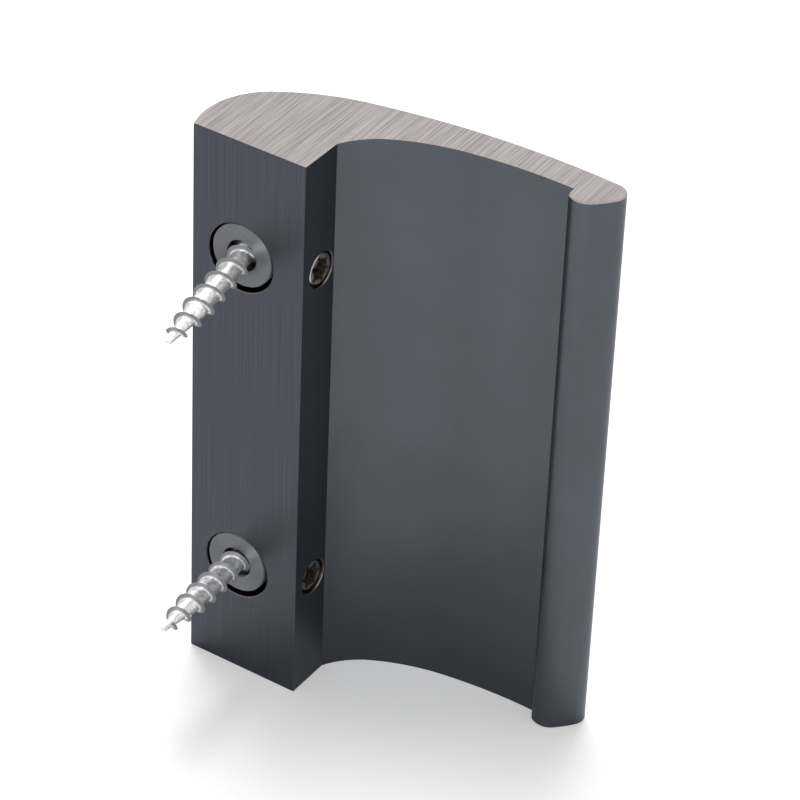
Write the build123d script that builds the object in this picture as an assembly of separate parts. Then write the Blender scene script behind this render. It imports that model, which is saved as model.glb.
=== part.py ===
from build123d import *
from dataclasses import dataclass
from math import acos, asin, atan2, ceil, cos, degrees, hypot, radians, sin
import os

# Balcony door handle: an extruded aluminium pull, fixed from behind by two bosses.
# Sizes are millimetres and angles are degrees.
# X runs along the door from the fixing axis towards the grip, -Y points at the door, Z is up.
# The origin is on the mounting face, midway between the two sockets.

# Bar of extrusion
length = 85.0
mount_face_width = 17.25
fixing_axis_from_edge = 7.56
side_face_depth = 6.85
end_edge_break = 0.15

# Back of the section: three tangent arcs, given by radius and by the heading at which each ends
back_start_heading = 112.0
nose_radius = 10.25
nose_end_heading = 36.0
shoulder_radius = 32.2
shoulder_end_heading = 13.5
back_radius = 115.0
back_end_heading = -4.4

# Bead along the free edge of the wing
bead_tip_radius = 2.12
bead_face_start_heading = -125.6
bead_face_radius = 15.3
bead_face_end_heading = -137.5
bead_lip_radius = 2.55
bead_lip_end_heading = -216.8
bead_heel_radius = 1.13

# Hollow over the fingers: three tangent arcs from the inner edge of the side face
hollow_start_heading = 62.5
hollow_root_radius = 11.8
hollow_root_end_heading = 28.7
hollow_middle_radius = 30.2
hollow_middle_end_heading = 9.6
palm_radius = 72.6

# Chipboard screw
screw_length = 20.0
head_diameter = 7.0
head_top_depth = 2.92
thread_diameter = 4.0
root_diameter = 2.7
thread_pitch = 2.6
ridge_base_width = 0.72
ridge_sink = 0.1
point_length = 6.6
point_end_diameter = 0.7
thread_end_diameter = 2.5
bare_tip_length = 1.2
cross_span = 3.8
cross_bottom_span = 1.5
cross_width = 0.85
cross_depth = 1.8

# Boss: a plain bore, a 90 degree seat for the screw head and a cup round the head
bore_play = 0.6
bore_land = 0.5
seat_depth = 0.8
cup_play = 0.9
cup_wall = 0.6
boss_length = 8.0
boss_edge_break = 0.1
contact_gap = 0.03

# Socket for a boss
socket_pitch = 50.0
boss_side_play = 0.9
boss_end_play = 0.4
socket_edge_break = 0.1

# M5 set screw with a six-lobe socket
set_screw_diameter = 4.9
set_screw_depth = 4.05
set_screw_spare = 0.34
set_screw_edge_break = 0.35
hole_play = 0.1
hole_edge_break = 0.15
flat_point_diameter = 3.0
lobes = 6
lobe_outer_diameter = 3.86
lobe_inner_diameter = 2.78
lobe_flank_radius = 0.87
lobe_depth = 2.2


@dataclass
class Fixing:
    """How one fixing hangs in its socket while the handle is off the door."""

    name: str
    height: float
    boss_pushed_towards: float
    head_pushed_towards: float
    share_of_full_lean: float
    screw_leans_towards: float
    thread_turned: float
    lobes_turned: float


fixings = [
    Fixing("upper", socket_pitch / 2, 74.0, 99.5, 1.0, -80.5, 65.0, 10.0),
    Fixing("lower", -socket_pitch / 2, 100.0, 77.0, 0.16, -68.0, 321.0, 25.0),
]

# Sizes that follow from the ones above
side_face_x = mount_face_width - fixing_axis_from_edge
bore_diameter = thread_diameter + bore_play
cup_diameter = head_diameter + cup_play
cup_floor = bore_land + seat_depth
boss_diameter = cup_diameter + 2 * cup_wall
socket_diameter = boss_diameter + boss_side_play
socket_depth = boss_length + boss_end_play
set_screw_length = side_face_x - boss_diameter / 2 - set_screw_spare
set_screw_hole_diameter = set_screw_diameter + hole_play
point_start = screw_length - point_length
thread_end = screw_length - bare_tip_length
lean_reach = (cup_play + bore_diameter) / 2 - 2 * contact_gap
lean_at_bore = acos(thread_diameter / 2 / hypot(lean_reach, head_top_depth))
full_lean = lean_at_bore - atan2(head_top_depth, lean_reach)


def direction(angle):
    """Unit vector in the plane of a sketch, by its angle from the first axis."""
    return Vector(cos(radians(angle)), sin(radians(angle)))


def arcs_from(start, heading, steps):
    """Tangent arcs that turn clockwise, one for each (radius, end heading)."""
    arcs = []
    for radius, end_heading in steps:
        arc = JernArc(start, direction(heading), radius, end_heading - heading)
        arcs.append(arc)
        start = arc @ 1
        heading = end_heading
    return arcs


def profile_section():
    """Section of the handle: the outline of block and wing, joined to the outline of the bead."""
    outer_edge = Vector(-fixing_axis_from_edge, 0)
    inner_edge = Vector(side_face_x, 0)
    hollow_edge = Vector(side_face_x, side_face_depth)
    back = arcs_from(
        outer_edge,
        back_start_heading,
        [
            (nose_radius, nose_end_heading),
            (shoulder_radius, shoulder_end_heading),
            (back_radius, back_end_heading),
        ],
    )
    back_end = back[-1] @ 1
    bead = arcs_from(
        back_end,
        back_end_heading,
        [
            (bead_tip_radius, bead_face_start_heading),
            (bead_face_radius, bead_face_end_heading),
            (bead_lip_radius, bead_lip_end_heading),
            (bead_heel_radius, 90 - 360),
        ],
    )
    heel = bead[-1] @ 1
    hollow = arcs_from(
        hollow_edge,
        hollow_start_heading,
        [
            (hollow_root_radius, hollow_root_end_heading),
            (hollow_middle_radius, hollow_middle_end_heading),
        ],
    )
    palm_start = hollow[-1] @ 1
    palm_centre = palm_start + direction(hollow_middle_end_heading - 90) * palm_radius
    palm_end_x = back_end.X - bead_tip_radius / 2
    palm_end_heading = -degrees(asin((palm_end_x - palm_centre.X) / palm_radius))
    hollow += arcs_from(palm_start, hollow_middle_end_heading, [(palm_radius, palm_end_heading)])
    palm_end = hollow[-1] @ 1
    wing = [
        Line(outer_edge, inner_edge),
        Line(inner_edge, hollow_edge),
        *hollow,
        Line(palm_end, back_end),
        *back,
    ]
    inside_wing = Vector(heel.X, (palm_end.Y + back_end.Y) / 2)
    bead += [Line(heel, inside_wing), Line(inside_wing, back_end)]
    return make_face(wing) + make_face(bead)


def turned(points):
    """Solid of revolution about +Z, from the (radius, height) corners of its half section."""
    outline = Polyline(*[(radius, 0, height) for radius, height in points], close=True)
    return revolve(make_face(outline), Axis.Z)


def boss_centre(fixing):
    """Centre of a boss's front face: the boss is pushed over until it meets its socket's wall."""
    shift = direction(fixing.boss_pushed_towards) * (boss_side_play / 2 - contact_gap)
    return Vector(shift.X, 0, fixing.height + shift.Y)


def make_profile():
    """The whole extrusion: bead and back deburred, two blind sockets, two holes for set screws."""
    bar = extrude(Pos(0, 0, -length / 2) * profile_section(), length)
    ends = bar.faces().sort_by(Axis.Z)
    bead_edges = [end.edges().sort_by(Axis.X)[-1] for end in (ends[0], ends[-1])]
    bar = chamfer(bead_edges, end_edge_break)
    socket_radius = socket_diameter / 2
    socket = turned(
        [
            (0, -socket_edge_break),
            (socket_radius + 2 * socket_edge_break, -socket_edge_break),
            (socket_radius, socket_edge_break),
            (socket_radius, socket_depth),
            (0, socket_depth),
        ]
    )
    hole_radius = set_screw_hole_diameter / 2
    hole = turned(
        [
            (0, 0),
            (hole_radius, 0),
            (hole_radius, side_face_x - hole_edge_break),
            (hole_radius + 2 * hole_edge_break, side_face_x + hole_edge_break),
            (0, side_face_x + hole_edge_break),
        ]
    )
    for fixing in fixings:
        into_face = Plane(origin=(0, 0, fixing.height), x_dir=(1, 0, 0), z_dir=(0, 1, 0))
        out_of_side = Plane(origin=(0, set_screw_depth, fixing.height), x_dir=(0, 1, 0), z_dir=(1, 0, 0))
        bar -= into_face * socket
        bar -= out_of_side * hole
    return bar


def make_boss(fixing):
    """Turned boss: its bored front face is flush with the mounting face, its cup opens inwards."""
    boss_radius = boss_diameter / 2
    body = turned(
        [
            (0, 0),
            (boss_radius - boss_edge_break, 0),
            (boss_radius, boss_edge_break),
            (boss_radius, boss_length),
            (0, boss_length),
        ]
    )
    bore = turned(
        [
            (0, 0),
            (bore_diameter / 2, 0),
            (bore_diameter / 2, bore_land),
            (bore_diameter / 2 + seat_depth, cup_floor),
            (cup_diameter / 2, cup_floor),
            (cup_diameter / 2, boss_length),
            (0, boss_length),
        ]
    )
    return Plane(origin=boss_centre(fixing), x_dir=(1, 0, 0), z_dir=(0, 1, 0)) * (body - bore)


def helix(start, rise, radii, turn):
    """Right-hand helical edge about +Z that keeps its pitch while its radius changes."""
    slope = atan2(radii[1] - radii[0], rise)
    edge = Edge.make_helix(thread_pitch / cos(slope), rise, radii[0], angle=degrees(slope))
    return Pos(0, 0, start) * Rot(0, 0, turn) * edge


def ridge_edges(lower, upper):
    """The ridge's three helical edges between two (root radius, crest radius, height) stations."""
    roots = (lower.X, upper.X)
    crests = (lower.Y, upper.Y)
    rise = upper.Z - lower.Z
    turn = 360 * lower.Z / thread_pitch
    return [
        helix(lower.Z - ridge_base_width / 2, rise, roots, turn),
        helix(lower.Z, rise, crests, turn),
        helix(lower.Z + ridge_base_width / 2, rise, roots, turn),
    ]


def thread_ridge(stations):
    """Ridge of the thread: faces ruled between its edges, none of them longer than one turn."""
    turns = []
    for lower, upper in zip(stations, stations[1:]):
        pieces = ceil((upper.Z - lower.Z) / thread_pitch)
        step = (upper - lower) / pieces
        for piece in range(pieces):
            start = lower + step * piece
            turns.append(ridge_edges(start, start + step))
    faces = [Face(Wire.make_polygon([edge @ 0 for edge in turns[0]]))]
    for edges in turns:
        faces += [Face.make_surface_from_curves(a, b) for a, b in zip(edges, edges[1:] + edges[:1])]
    faces.append(Face(Wire.make_polygon([edge @ 1 for edge in turns[-1]])))
    return Solid(Shell(faces))


def cross_recess():
    """Cross recess in the head: two slots at right angles, shorter towards the bottom."""
    top = cross_span / 2
    bottom = cross_bottom_span / 2
    side = Polyline(
        (-top, 0, 0),
        (top, 0, 0),
        (bottom, 0, cross_depth),
        (-bottom, 0, cross_depth),
        close=True,
    )
    slot = extrude(make_face(side), cross_width / 2, both=True)
    return slot + Rot(0, 0, 90) * slot


def wood_screw():
    """Chipboard screw, from the top of its head at the origin to its point up the Z axis."""
    head_radius = head_diameter / 2
    root_radius = root_diameter / 2
    tip_radius = point_end_diameter / 2
    thread_end_root = tip_radius + (root_radius - tip_radius) * bare_tip_length / point_length
    crest_radius = thread_diameter / 2
    thread_start = head_radius - crest_radius - ridge_sink
    core = turned(
        [
            (0, 0),
            (head_radius, 0),
            (root_radius, head_radius - root_radius),
            (root_radius, point_start),
            (tip_radius, screw_length),
            (0, screw_length),
        ]
    )
    ridge = thread_ridge(
        [
            Vector(root_radius - ridge_sink, crest_radius, thread_start),
            Vector(root_radius - ridge_sink, crest_radius, point_start),
            Vector(thread_end_root - ridge_sink, thread_end_diameter / 2, thread_end),
        ]
    )
    return core + ridge - cross_recess()


def make_wood_screw(fixing, screw):
    """Screw through a boss: its head lies against the wall of the cup and its tip leans down."""
    shift = direction(fixing.head_pushed_towards) * (cup_play / 2 - contact_gap)
    head = boss_centre(fixing) + Vector(shift.X, head_top_depth, shift.Y)
    lean = full_lean * fixing.share_of_full_lean
    sideways = direction(fixing.screw_leans_towards) * sin(lean)
    axis = Vector(sideways.X, -cos(lean), sideways.Y)
    place = Plane(origin=head, x_dir=(1, -axis.X / axis.Y, 0), z_dir=axis)
    return place * Rot(0, 0, fixing.thread_turned) * screw


def lobed_socket():
    """Six-lobe socket, pointing down from the origin."""
    bump_distance = lobe_inner_diameter / 2 + lobe_flank_radius
    bumps = PolarLocations(bump_distance, lobes) * Circle(lobe_flank_radius)
    outline = Circle(lobe_outer_diameter / 2) - bumps
    return extrude(outline, -lobe_depth)


def make_set_screw(fixing):
    """Set screw from the side face, screwed in until its flat point meets the side of the boss."""
    screw_radius = set_screw_diameter / 2
    point_radius = flat_point_diameter / 2
    point_cone = screw_radius - point_radius
    body = turned(
        [
            (0, 0),
            (point_radius, 0),
            (screw_radius, point_cone),
            (screw_radius, set_screw_length - set_screw_edge_break),
            (screw_radius - set_screw_edge_break, set_screw_length),
            (0, set_screw_length),
        ]
    )
    socket = Pos(0, 0, set_screw_length) * Rot(0, 0, fixing.lobes_turned) * lobed_socket()
    point_x = boss_centre(fixing).X + boss_diameter / 2 + contact_gap
    place = Plane(origin=(point_x, set_screw_depth, fixing.height), x_dir=(0, 1, 0), z_dir=(1, 0, 0))
    return place * (body - socket)


nodes = {"handle_profile": make_profile()}
screw = wood_screw()
for fixing in fixings:
    nodes[f"{fixing.name}_boss"] = make_boss(fixing)
    nodes[f"{fixing.name}_wood_screw"] = make_wood_screw(fixing, screw)
    nodes[f"{fixing.name}_set_screw"] = make_set_screw(fixing)

os.makedirs("parts", exist_ok=True)
for name, shape in nodes.items():
    export_step(shape, f"parts/{name}.step")
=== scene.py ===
import math

import bpy
import numpy
from mathutils import Matrix, Vector


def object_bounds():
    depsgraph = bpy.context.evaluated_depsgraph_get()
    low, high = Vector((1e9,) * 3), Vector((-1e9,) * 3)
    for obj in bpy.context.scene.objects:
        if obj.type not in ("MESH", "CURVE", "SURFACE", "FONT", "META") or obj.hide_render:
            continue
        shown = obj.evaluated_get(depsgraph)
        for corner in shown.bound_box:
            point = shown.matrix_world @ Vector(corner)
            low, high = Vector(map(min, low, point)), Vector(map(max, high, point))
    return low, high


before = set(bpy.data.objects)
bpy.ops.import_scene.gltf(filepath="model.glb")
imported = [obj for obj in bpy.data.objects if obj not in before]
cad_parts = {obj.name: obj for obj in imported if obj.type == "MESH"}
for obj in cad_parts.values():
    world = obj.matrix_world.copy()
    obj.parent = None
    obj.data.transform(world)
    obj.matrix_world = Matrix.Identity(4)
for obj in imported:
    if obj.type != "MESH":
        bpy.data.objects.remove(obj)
cad_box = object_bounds()


# The handle itself: one sawn length of extruded aluminium, anthracite anodised before it was cut.
# The skin is dark, and the flat face that lies on the door keeps the fine lines of the die. Both
# ends, the two sockets and the set screw holes were cut afterwards, so they are bare metal.

MM = 0.001
FIXING_HEIGHT = 25.0 * MM
SOCKET_EDGE_RADIUS = 5.16 * MM
SOCKET_DEPTH = 8.45 * MM
HOLE_EDGE_RADIUS = 2.58 * MM
HOLE_CENTRE_DEPTH = 4.05 * MM
FLAT_FACE_DEPTH = 0.02 * MM


def linear(code):
    """The linear colour that a shader works in, from an sRGB hex code."""
    parts = [int(code[i : i + 2], 16) / 255 for i in (1, 3, 5)]
    return [p / 12.92 if p <= 0.04045 else ((p + 0.055) / 1.055) ** 2.4 for p in parts] + [1.0]


def add(tree, kind, inputs=None, **settings):
    """A node with its settings, and with a value or a link on each named input."""
    node = tree.nodes.new(kind)
    for name, value in settings.items():
        setattr(node, name, value)
    for name, value in (inputs or {}).items():
        if isinstance(value, bpy.types.NodeSocket):
            tree.links.new(value, node.inputs[name])
        else:
            node.inputs[name].default_value = value
    return node


def new_material(name):
    """An empty material, its tree and the object's own coordinates."""
    finish = bpy.data.materials.new(name)
    finish.use_nodes = True
    finish.node_tree.nodes.clear()
    place = add(finish.node_tree, "ShaderNodeTexCoord").outputs["Object"]
    return finish, finish.node_tree, place


def cover(node, finish):
    """Every slot of a CAD node takes this finish."""
    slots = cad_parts[node].data.materials
    if not slots:
        slots.append(finish)
    for index in range(len(slots)):
        slots[index] = finish


def brush_marks(tree, place, turn, across, along):
    """Marks as wide as across and as long as along, in metres, running up the turned Z axis."""
    turned = add(tree, "ShaderNodeMapping", {"Vector": place, "Rotation": turn})
    scale = (1 / across, 1 / across, 1 / along)
    scaled = add(tree, "ShaderNodeMapping", {"Vector": turned.outputs[0], "Scale": scale})
    noise = {"Vector": scaled.outputs[0], "Scale": 1.0, "Detail": 1.0}
    return add(tree, "ShaderNodeTexNoise", noise).outputs["Fac"]


def measured_from_fixing(tree, place):
    """Coordinates, height over the nearer fixing, and distance from its set screw hole's axis."""
    axes = add(tree, "ShaderNodeSeparateXYZ", {"Vector": place}).outputs
    height = add(tree, "ShaderNodeMath", {0: axes["Z"]}, operation="ABSOLUTE").outputs[0]
    over = add(
        tree, "ShaderNodeMath", {0: height, 1: FIXING_HEIGHT}, operation="SUBTRACT"
    ).outputs[0]
    beside = add(
        tree, "ShaderNodeMath", {0: axes["Y"], 1: HOLE_CENTRE_DEPTH}, operation="SUBTRACT"
    ).outputs[0]
    in_plane = add(tree, "ShaderNodeCombineXYZ", {"Y": beside, "Z": over}).outputs[0]
    reach = add(tree, "ShaderNodeVectorMath", {0: in_plane}, operation="LENGTH").outputs["Value"]
    return axes, over, reach


anodised, tree, place = new_material("anthracite anodised aluminium")
axes, over_fixing, from_hole_axis = measured_from_fixing(tree, place)
on_flat_face = add(
    tree, "ShaderNodeMath", {0: axes["Y"], 1: FLAT_FACE_DEPTH}, operation="LESS_THAN"
).outputs[0]

# Anthracite anodised aluminium: a dyed oxide on metal, so the eye gets a dark, cool grey with a
# broad soft shine. Hair lines stand only on the flat face, and faint clouds on the rest.
DIE_LINE_WIDTH = 0.07 * MM
DIE_LINE_LENGTH = 25 * MM
CLOUD_SIZE = 9 * MM
die_lines = brush_marks(tree, place, (0, 0, 0), DIE_LINE_WIDTH, DIE_LINE_LENGTH)
clouds = add(tree, "ShaderNodeTexNoise", {"Vector": place, "Scale": 1 / CLOUD_SIZE}).outputs["Fac"]
plain_colour = add(
    tree,
    "ShaderNodeMix",
    {"Factor": clouds, 6: linear("#555a61"), 7: linear("#60656d")},
    data_type="RGBA",
).outputs[2]
lined_colour = add(
    tree,
    "ShaderNodeMix",
    {"Factor": die_lines, 6: linear("#3b3e45"), 7: linear("#5c6069")},
    data_type="RGBA",
).outputs[2]
skin_colour = add(
    tree,
    "ShaderNodeMix",
    {"Factor": on_flat_face, 6: plain_colour, 7: lined_colour},
    data_type="RGBA",
).outputs[2]
line_height = add(
    tree, "ShaderNodeMath", {0: die_lines, 1: on_flat_face}, operation="MULTIPLY"
).outputs[0]
skin_bump = add(
    tree, "ShaderNodeBump", {"Height": line_height, "Strength": 0.2, "Distance": 0.02 * MM}
)
skin = add(
    tree,
    "ShaderNodeBsdfPrincipled",
    {
        "Base Color": skin_colour,
        "Metallic": 0.95,
        "Roughness": 0.36,
        "Normal": skin_bump.outputs[0],
    },
)

# Bare aluminium, sawn and belt brushed: warm silver, with straight marks across the ends. In the
# sockets and holes, where it was only drilled, it is painted darker and browner as painted shade.
BELT_MARK_WIDTH = 0.06 * MM
BELT_MARK_LENGTH = 8 * MM
BELT_TURN = (math.radians(-90), math.radians(-1.5), 0)
belt_marks = brush_marks(tree, place, BELT_TURN, BELT_MARK_WIDTH, BELT_MARK_LENGTH)
belt_contrast = add(
    tree, "ShaderNodeMapRange", {"Value": belt_marks, "From Min": 0.3, "From Max": 0.7}
).outputs[0]
brushed_colour = add(
    tree,
    "ShaderNodeMix",
    {"Factor": belt_contrast, 6: linear("#867f7e"), 7: linear("#beb7b5")},
    data_type="RGBA",
).outputs[2]
in_face_plane = add(tree, "ShaderNodeCombineXYZ", {"X": axes["X"], "Z": over_fixing}).outputs[0]
from_socket_axis = add(
    tree, "ShaderNodeVectorMath", {0: in_face_plane}, operation="LENGTH"
).outputs["Value"]
near_socket = add(
    tree, "ShaderNodeMath", {0: from_socket_axis, 1: SOCKET_EDGE_RADIUS}, operation="LESS_THAN"
).outputs[0]
above_floor = add(
    tree, "ShaderNodeMath", {0: axes["Y"], 1: SOCKET_DEPTH}, operation="LESS_THAN"
).outputs[0]
socket_levels = add(
    tree, "ShaderNodeMath", {0: above_floor, 1: on_flat_face}, operation="SUBTRACT"
).outputs[0]
in_socket = add(
    tree, "ShaderNodeMath", {0: near_socket, 1: socket_levels}, operation="MULTIPLY"
).outputs[0]
near_hole = add(
    tree, "ShaderNodeMath", {0: from_hole_axis, 1: HOLE_EDGE_RADIUS}, operation="LESS_THAN"
).outputs[0]
hole_side = add(tree, "ShaderNodeMath", {0: axes["X"], 1: 0.0}, operation="GREATER_THAN").outputs[0]
in_hole = add(
    tree, "ShaderNodeMath", {0: near_hole, 1: hole_side}, operation="MULTIPLY"
).outputs[0]
# The sockets and set screw holes: bare metal, and the dark brown colour given to them below is
# painted shade.
drilled_and_shaded = add(tree, "ShaderNodeMath", {0: in_socket, 1: in_hole}, operation="MAXIMUM").outputs[0]
bare_and_shaded_colour = add(
    tree,
    "ShaderNodeMix",
    {"Factor": drilled_and_shaded, 6: brushed_colour, 7: linear("#4f4844")},
    data_type="RGBA",
).outputs[2]
bare_bump = add(
    tree, "ShaderNodeBump", {"Height": belt_marks, "Strength": 0.3, "Distance": 0.03 * MM}
)
bare = add(
    tree,
    "ShaderNodeBsdfPrincipled",
    {
        "Base Color": bare_and_shaded_colour,
        "Metallic": 1.0,
        "Roughness": 0.28,
        "Normal": bare_bump.outputs[0],
    },
)

# The metal is bare on every face that looks up or down, which only a cut makes, and where drilled.
CUT_FACE_SLOPE = 0.3
facing = add(tree, "ShaderNodeNewGeometry").outputs["True Normal"]
facing_axes = add(tree, "ShaderNodeSeparateXYZ", {"Vector": facing}).outputs
upright = add(tree, "ShaderNodeMath", {0: facing_axes["Z"]}, operation="ABSOLUTE").outputs[0]
cut_end = add(
    tree, "ShaderNodeMath", {0: upright, 1: CUT_FACE_SLOPE}, operation="GREATER_THAN"
).outputs[0]
is_bare = add(tree, "ShaderNodeMath", {0: cut_end, 1: drilled_and_shaded}, operation="MAXIMUM").outputs[0]
surface = add(
    tree, "ShaderNodeMixShader", {0: is_bare, 1: skin.outputs[0], 2: bare.outputs[0]}
)
add(tree, "ShaderNodeOutputMaterial", {"Surface": surface.outputs[0]})
cover("handle_profile", anodised)


# The two bosses that the handle is clamped on: free-cutting steel, faced and bored in a lathe. The
# tool left rings round the bore, finer than a pixel, that spread each reflection along the radius,
# so the mid-grey face carries one brighter sector.

SPECK_SIZE = 0.3 * MM
turned_steel, tree, place = new_material("turned free-cutting steel")
specks = add(tree, "ShaderNodeTexNoise", {"Vector": place, "Scale": 1 / SPECK_SIZE}).outputs["Fac"]
boss_colour = add(
    tree,
    "ShaderNodeMix",
    {"Factor": specks, 6: linear("#6b6e72"), 7: linear("#96989b")},
    data_type="RGBA",
).outputs[2]
boss_bump = add(
    tree, "ShaderNodeBump", {"Height": specks, "Strength": 0.15, "Distance": 0.02 * MM}
)
ring_direction = add(tree, "ShaderNodeTangent", direction_type="RADIAL", axis="Y").outputs[0]
boss_steel = add(
    tree,
    "ShaderNodeBsdfPrincipled",
    {
        "Base Color": boss_colour,
        "Metallic": 1.0,
        "Roughness": 0.5,
        "Anisotropic": 0.95,
        "Anisotropic Rotation": 0.25,
        "Tangent": ring_direction,
        "Normal": boss_bump.outputs[0],
    },
)
add(tree, "ShaderNodeOutputMaterial", {"Surface": boss_steel.outputs[0]})
cover("upper_boss", turned_steel)
cover("lower_boss", turned_steel)


# The chipboard screws that hold the bosses on the door: cold headed, thread rolled, and zinc plated
# in a barrel. The core stays bright and cloudy. The thin crests are rubbed rougher, and their
# darker grey is painted shade.

POINT_LENGTH = 6.6 * MM
CORE_RADIUS = 1.35 * MM
POINT_END_RADIUS = 0.35 * MM
CREST_STARTS = 0.06 * MM
CREST_ENDS = 0.3 * MM
BLOTCH_SIZE = 0.45 * MM


def zinc_plate(name, tip, axis):
    """Bright zinc plate on one screw, given its tip and the direction from head to tip."""
    finish, tree, place = new_material(name)
    to_tip = add(tree, "ShaderNodeVectorMath", {0: tip, 1: place}, operation="SUBTRACT").outputs[0]
    from_tip = add(
        tree, "ShaderNodeVectorMath", {0: to_tip, 1: axis}, operation="DOT_PRODUCT"
    ).outputs["Value"]
    across = add(
        tree, "ShaderNodeVectorMath", {0: to_tip, 1: axis}, operation="CROSS_PRODUCT"
    ).outputs[0]
    radius = add(tree, "ShaderNodeVectorMath", {0: across}, operation="LENGTH").outputs["Value"]
    core_radius = add(
        tree,
        "ShaderNodeMapRange",
        {
            "Value": from_tip,
            "From Max": POINT_LENGTH,
            "To Min": POINT_END_RADIUS,
            "To Max": CORE_RADIUS,
        },
    ).outputs[0]
    outside_core = add(
        tree, "ShaderNodeMath", {0: radius, 1: core_radius}, operation="SUBTRACT"
    ).outputs[0]
    crest = add(
        tree,
        "ShaderNodeMapRange",
        {"Value": outside_core, "From Min": CREST_STARTS, "From Max": CREST_ENDS},
    ).outputs[0]
    blotches = add(
        tree, "ShaderNodeTexNoise", {"Vector": place, "Scale": 1 / BLOTCH_SIZE, "Detail": 4.0}
    ).outputs["Fac"]
    blotch_contrast = add(
        tree, "ShaderNodeMapRange", {"Value": blotches, "From Min": 0.35, "From Max": 0.6}
    ).outputs[0]
    core_colour = add(
        tree,
        "ShaderNodeMix",
        {"Factor": blotch_contrast, 6: linear("#d6d4cf"), 7: linear("#ffffff")},
        data_type="RGBA",
    ).outputs[2]
    # The crests' darker grey colour is painted shade; only their higher roughness is real wear.
    colour = add(
        tree,
        "ShaderNodeMix",
        {"Factor": crest, 6: core_colour, 7: linear("#8a8c90")},
        data_type="RGBA",
    ).outputs[2]
    roughness = add(tree, "ShaderNodeMix", {"Factor": crest, 2: 0.4, 3: 0.5}).outputs[0]
    bump = add(
        tree, "ShaderNodeBump", {"Height": blotches, "Strength": 0.3, "Distance": 0.04 * MM}
    )
    plate = add(
        tree,
        "ShaderNodeBsdfPrincipled",
        {
            "Base Color": colour,
            "Metallic": 1.0,
            "Roughness": roughness,
            "Normal": bump.outputs[0],
        },
    )
    add(tree, "ShaderNodeOutputMaterial", {"Surface": plate.outputs[0]})
    return finish


for fixing in ("upper", "lower"):
    node = f"{fixing}_wood_screw"
    points = numpy.array([vertex.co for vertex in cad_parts[node].data.vertices])
    middle = points.mean(axis=0)
    axis = numpy.linalg.svd(points - middle, full_matrices=False)[2][0]
    axis *= -math.copysign(1.0, axis[1])
    tip = middle + axis * ((points - middle) @ axis).max()
    cover(node, zinc_plate(f"bright zinc plated steel, {fixing} screw", tip, axis))


# The set screws that lock the handle on its bosses: turned from stainless bar, with a pressed
# six-lobe socket. The rim catches the light as a crescent, and the socket's dark colour is painted
# shade.

LOBED_SOCKET_RADIUS = 1.25 * MM
RIM_STARTS = 1.55 * MM
GRAIN_SIZE = 0.4 * MM
stainless, tree, place = new_material("turned stainless steel")
from_screw_axis = measured_from_fixing(tree, place)[2]
grain = add(tree, "ShaderNodeTexNoise", {"Vector": place, "Scale": 1 / GRAIN_SIZE}).outputs["Fac"]
rim_colour = add(
    tree,
    "ShaderNodeMix",
    {"Factor": grain, 6: linear("#b5aea6"), 7: linear("#efe8de")},
    data_type="RGBA",
).outputs[2]
on_rim = add(
    tree,
    "ShaderNodeMapRange",
    {"Value": from_screw_axis, "From Min": LOBED_SOCKET_RADIUS, "From Max": RIM_STARTS},
).outputs[0]
# Inside the six-lobe socket, the dark brown colour is painted shade; the rim keeps the steel's own
# colour.
rim_and_shaded_socket_colour = add(
    tree,
    "ShaderNodeMix",
    {"Factor": on_rim, 6: linear("#3a3532"), 7: rim_colour},
    data_type="RGBA",
).outputs[2]
steel = add(
    tree,
    "ShaderNodeBsdfPrincipled",
    {"Base Color": rim_and_shaded_socket_colour, "Metallic": 1.0, "Roughness": 0.25},
)
add(tree, "ShaderNodeOutputMaterial", {"Surface": steel.outputs[0]})
cover("upper_set_screw", stainless)
cover("lower_set_screw", stainless)


# The studio: white paper that the handle stands on, a white surround, a large soft lamp above and
# behind it, so that its shadow falls towards the camera, and a weak one low in front, which gives
# each boss its brighter sector.

FLOOR_HALF = 3.0
floor_z = cad_box[0][2]
corners = [(-1, -1), (1, -1), (1, 1), (-1, 1)]
floor_mesh = bpy.data.meshes.new("floor")
floor_mesh.from_pydata(
    [(x * FLOOR_HALF, y * FLOOR_HALF, floor_z) for x, y in corners], [], [(0, 1, 2, 3)]
)
floor = bpy.data.objects.new("floor", floor_mesh)
bpy.context.scene.collection.objects.link(floor)

# The paper looks a little brighter to the camera than it is, so that it melts into the surround.
PAPER_LIFT = 0.3
paper, tree, place = new_material("white paper")
matt = add(tree, "ShaderNodeBsdfDiffuse", {"Color": (0.9, 0.9, 0.9, 1.0)})
to_camera = add(tree, "ShaderNodeLightPath").outputs["Is Camera Ray"]
lift = add(tree, "ShaderNodeMath", {0: to_camera, 1: PAPER_LIFT}, operation="MULTIPLY").outputs[0]
glow = add(tree, "ShaderNodeEmission", {"Strength": lift})
sheet = add(tree, "ShaderNodeAddShader", {0: matt.outputs[0], 1: glow.outputs[0]})
add(tree, "ShaderNodeOutputMaterial", {"Surface": sheet.outputs[0]})
floor_mesh.materials.append(paper)

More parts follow.
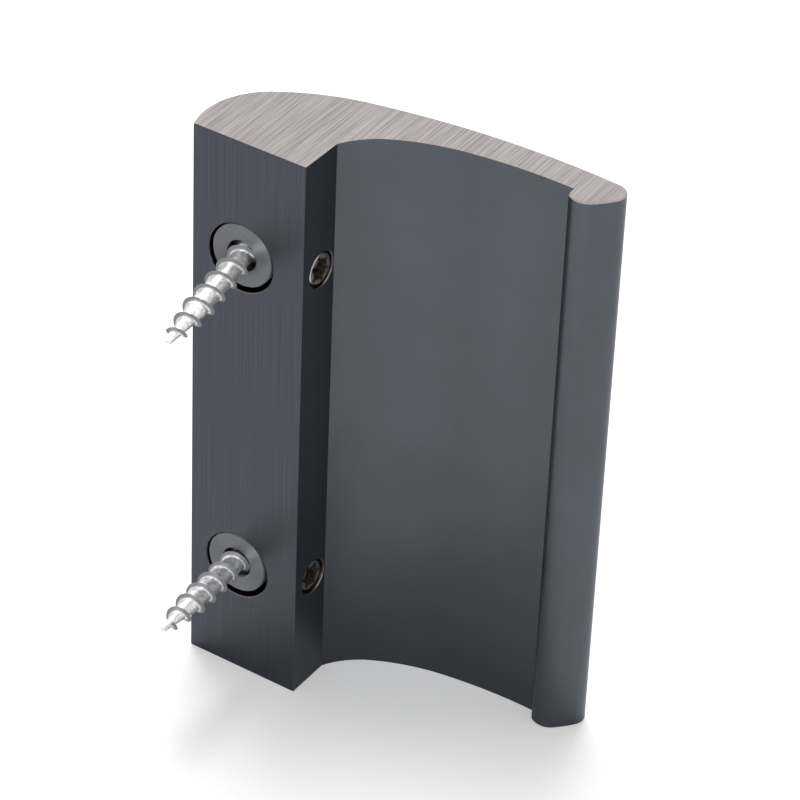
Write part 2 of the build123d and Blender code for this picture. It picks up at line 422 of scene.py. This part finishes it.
# The surround is plain white to the camera and in the metal, and lights the object more weakly.
AMBIENT = 0.42
world = bpy.data.worlds.new("white surround")
world.use_nodes = True
tree = world.node_tree
tree.nodes.clear()
rays = add(tree, "ShaderNodeLightPath").outputs
mirrored = add(
    tree,
    "ShaderNodeMath",
    {0: rays["Is Glossy Ray"], 1: rays["Is Transmission Ray"]},
    operation="MAXIMUM",
).outputs[0]
seen = add(
    tree, "ShaderNodeMath", {0: rays["Is Camera Ray"], 1: mirrored}, operation="MAXIMUM"
).outputs[0]
strength = add(tree, "ShaderNodeMix", {"Factor": seen, 2: AMBIENT, 3: 1.0}).outputs[0]
sky = add(tree, "ShaderNodeBackground", {"Color": (1.0, 1.0, 1.0, 1.0), "Strength": strength})
add(tree, "ShaderNodeOutputWorld", {"Surface": sky.outputs[0]})
bpy.context.scene.world = world


def soft_lamp(name, position, width, power):
    """A square lamp, in metres and watts, that faces the handle."""
    data = bpy.data.lights.new(name, "AREA")
    data.size = width
    data.energy = power
    lamp = bpy.data.objects.new(name, data)
    aim = (-Vector(position)).to_track_quat("-Z", "Y")
    lamp.matrix_world = Matrix.Translation(position) @ aim.to_matrix().to_4x4()
    bpy.context.scene.collection.objects.link(lamp)


soft_lamp("key lamp", (-0.25, 0.35, 1.3), 0.6, 14.0)
soft_lamp("front lamp", (0.3, -0.95, 0.15), 0.3, 2.0)


# The camera stands where the photograph was taken from: on the door side, to the right and above.

EYE = Vector((0.242874, -0.343102, 0.310672))
RIGHT = Vector((0.82967655, 0.55715872, 0.03479924))
UP = Vector((-0.35255735, 0.47462815, 0.8064933))
SENSOR_WIDTH = 36.0
FOCAL_LENGTH = 179.12
camera_data = bpy.data.cameras.new("camera")
camera_data.sensor_width = SENSOR_WIDTH
camera_data.lens = FOCAL_LENGTH
camera_data.clip_start = 0.01
camera = bpy.data.objects.new("camera", camera_data)
turn = Matrix((RIGHT, UP, RIGHT.cross(UP))).transposed()
camera.matrix_world = Matrix.Translation(EYE) @ turn.to_4x4()
bpy.context.scene.collection.objects.link(camera)
bpy.context.scene.camera = camera

bpy.context.scene.view_settings.view_transform = "Standard"
